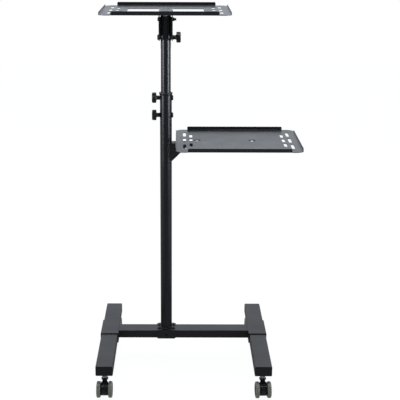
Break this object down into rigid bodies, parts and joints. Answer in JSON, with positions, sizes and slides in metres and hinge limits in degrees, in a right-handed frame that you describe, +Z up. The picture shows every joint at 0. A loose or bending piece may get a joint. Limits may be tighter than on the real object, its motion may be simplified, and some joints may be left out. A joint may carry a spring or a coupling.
{
  "type": "projector cart",
  "caption": "Rolling projector cart: H-shaped base on twin-wheel casters, telescoping column, tilting top tray and a fixed side tray on a gusseted arm.",
  "frame": {"origin": "on the floor, under the middle of the bounding box of the whole cart", "axes": "+Z up along the column, +X towards the side tray, -Y towards the user"},
  "size_m": [0.5966, 0.4966, 1.094],
  "materials": {
    "coat": "satin",
    "zinc": "satin",
    "plastic": "matte",
    "tyre": "matte"
  },
  "bodies": {
    "base": {"left_foot": "coat", "right_foot": "coat", "front_left_cap": "plastic", "front_right_cap": "plastic", "rear_left_cap": "plastic", "rear_right_cap": "plastic", "left_saddle": "coat", "right_saddle": "coat", "foot_bolts": "zinc", "crossbar": "coat", "column_seat": "coat", "seat_bolts": "zinc", "seat_nuts": "zinc", "lower_pole": "coat", "pole_bush": "plastic", "upper_clamp_bolt": "zinc", "lower_clamp_bolt": "zinc", "tray_arm": "coat", "lower_tray": "coat", "lower_tray_fixings": "zinc", "caster_stems": "zinc"},
    "mast": {"upper_pole": "coat", "pole_plug": "plastic", "pivot_bolt": "zinc", "pivot_nut": "zinc", "tilt_spacers": "plastic", "tilt_bolt": "zinc"},
    "tray_head": {"tilt_bracket": "coat", "upper_tray": "coat", "upper_tray_fixings": "zinc"},
    "upper_clamp_handle": {"upper_clamp_knob": "plastic"},
    "lower_clamp_handle": {"lower_clamp_knob": "plastic"},
    "tilt_handle": {"tilt_knob": "plastic"},
    "front_left_caster": {"front_left_hood": "plastic", "front_left_axle": "zinc"},
    "front_left_wheel_a": {"front_left_hub_a": "plastic", "front_left_tyre_a": "tyre"},
    "front_left_wheel_b": {"front_left_hub_b": "plastic", "front_left_tyre_b": "tyre"},
    "front_left_brake_lever": {"front_left_brake": "plastic"},
    "front_right_caster": {"front_right_hood": "plastic", "front_right_axle": "zinc"},
    "front_right_wheel_a": {"front_right_hub_a": "plastic", "front_right_tyre_a": "tyre"},
    "front_right_wheel_b": {"front_right_hub_b": "plastic", "front_right_tyre_b": "tyre"},
    "front_right_brake_lever": {"front_right_brake": "plastic"},
    "rear_left_caster": {"rear_left_hood": "plastic", "rear_left_axle": "zinc"},
    "rear_left_wheel_a": {"rear_left_hub_a": "plastic", "rear_left_tyre_a": "tyre"},
    "rear_left_wheel_b": {"rear_left_hub_b": "plastic", "rear_left_tyre_b": "tyre"},
    "rear_right_caster": {"rear_right_hood": "plastic", "rear_right_axle": "zinc"},
    "rear_right_wheel_a": {"rear_right_hub_a": "plastic", "rear_right_tyre_a": "tyre"},
    "rear_right_wheel_b": {"rear_right_hub_b": "plastic", "rear_right_tyre_b": "tyre"}
  },
  "joints": [
    {"name": "mast_slide", "type": "slide", "parent": "base", "child": "mast", "axis": [0, 0, 1], "range_m": [-0.14, 0.15]},
    {"name": "tray_tilt", "type": "hinge", "parent": "mast", "child": "tray_head", "pos_m": [-0.09473, 0.04032, 1.058], "axis": [1, 0, 0], "range_deg": [-15, 15]},
    {"name": "upper_clamp_turn", "type": "hinge", "parent": "base", "child": "upper_clamp_handle", "pos_m": [-0.12473, 0.04032, 0.832], "axis": [-1, 0, 0], "continuous": true},
    {"name": "lower_clamp_turn", "type": "hinge", "parent": "base", "child": "lower_clamp_handle", "pos_m": [-0.12473, 0.04032, 0.7805], "axis": [-1, 0, 0], "continuous": true},
    {"name": "tilt_knob_turn", "type": "hinge", "parent": "mast", "child": "tilt_handle", "pos_m": [-0.06473, 0.04032, 1.007], "axis": [1, 0, 0], "continuous": true},
    {"name": "front_left_swivel", "type": "hinge", "parent": "base", "child": "front_left_caster", "pos_m": [-0.27072, -0.20568, 0.053], "axis": [0, 0, 1], "continuous": true},
    {"name": "front_left_wheel_a_spin", "type": "hinge", "parent": "front_left_caster", "child": "front_left_wheel_a", "pos_m": [-0.27072, -0.22368, 0.024], "axis": [1, 0, 0], "continuous": true},
    {"name": "front_left_wheel_b_spin", "type": "hinge", "parent": "front_left_caster", "child": "front_left_wheel_b", "pos_m": [-0.27072, -0.22368, 0.024], "axis": [1, 0, 0], "continuous": true},
    {"name": "front_left_brake_swing", "type": "hinge", "parent": "front_left_caster", "child": "front_left_brake_lever", "pos_m": [-0.27072, -0.2344, 0.033], "axis": [-1, 0, 0], "range_deg": [0, 12]},
    {"name": "front_right_swivel", "type": "hinge", "parent": "base", "child": "front_right_caster", "pos_m": [0.18927, -0.20568, 0.053], "axis": [0, 0, 1], "continuous": true},
    {"name": "front_right_wheel_a_spin", "type": "hinge", "parent": "front_right_caster", "child": "front_right_wheel_a", "pos_m": [0.1899, -0.22367, 0.024], "axis": [0.9994, 0.0349, 0], "continuous": true},
    {"name": "front_right_wheel_b_spin", "type": "hinge", "parent": "front_right_caster", "child": "front_right_wheel_b", "pos_m": [0.1899, -0.22367, 0.024], "axis": [0.9994, 0.0349, 0], "continuous": true},
    {"name": "front_right_brake_swing", "type": "hinge", "parent": "front_right_caster", "child": "front_right_brake_lever", "pos_m": [0.19028, -0.23438, 0.033], "axis": [-0.9994, -0.0349, 0], "range_deg": [0, 12]},
    {"name": "rear_left_swivel", "type": "hinge", "parent": "base", "child": "rear_left_caster", "pos_m": [-0.27072, 0.20632, 0.053], "axis": [0, 0, 1], "continuous": true},
    {"name": "rear_left_wheel_a_spin", "type": "hinge", "parent": "rear_left_caster", "child": "rear_left_wheel_a", "pos_m": [-0.27072, 0.22432, 0.024], "axis": [-1, 0, 0], "continuous": true},
    {"name": "rear_left_wheel_b_spin", "type": "hinge", "parent": "rear_left_caster", "child": "rear_left_wheel_b", "pos_m": [-0.27072, 0.22432, 0.024], "axis": [-1, 0, 0], "continuous": true},
    {"name": "rear_right_swivel", "type": "hinge", "parent": "base", "child": "rear_right_caster", "pos_m": [0.18927, 0.20632, 0.053], "axis": [0, 0, 1], "continuous": true},
    {"name": "rear_right_wheel_a_spin", "type": "hinge", "parent": "rear_right_caster", "child": "rear_right_wheel_a", "pos_m": [0.18927, 0.22432, 0.024], "axis": [-1, 0, 0], "continuous": true},
    {"name": "rear_right_wheel_b_spin", "type": "hinge", "parent": "rear_right_caster", "child": "rear_right_wheel_b", "pos_m": [0.18927, 0.22432, 0.024], "axis": [-1, 0, 0], "continuous": true}
  ]
}
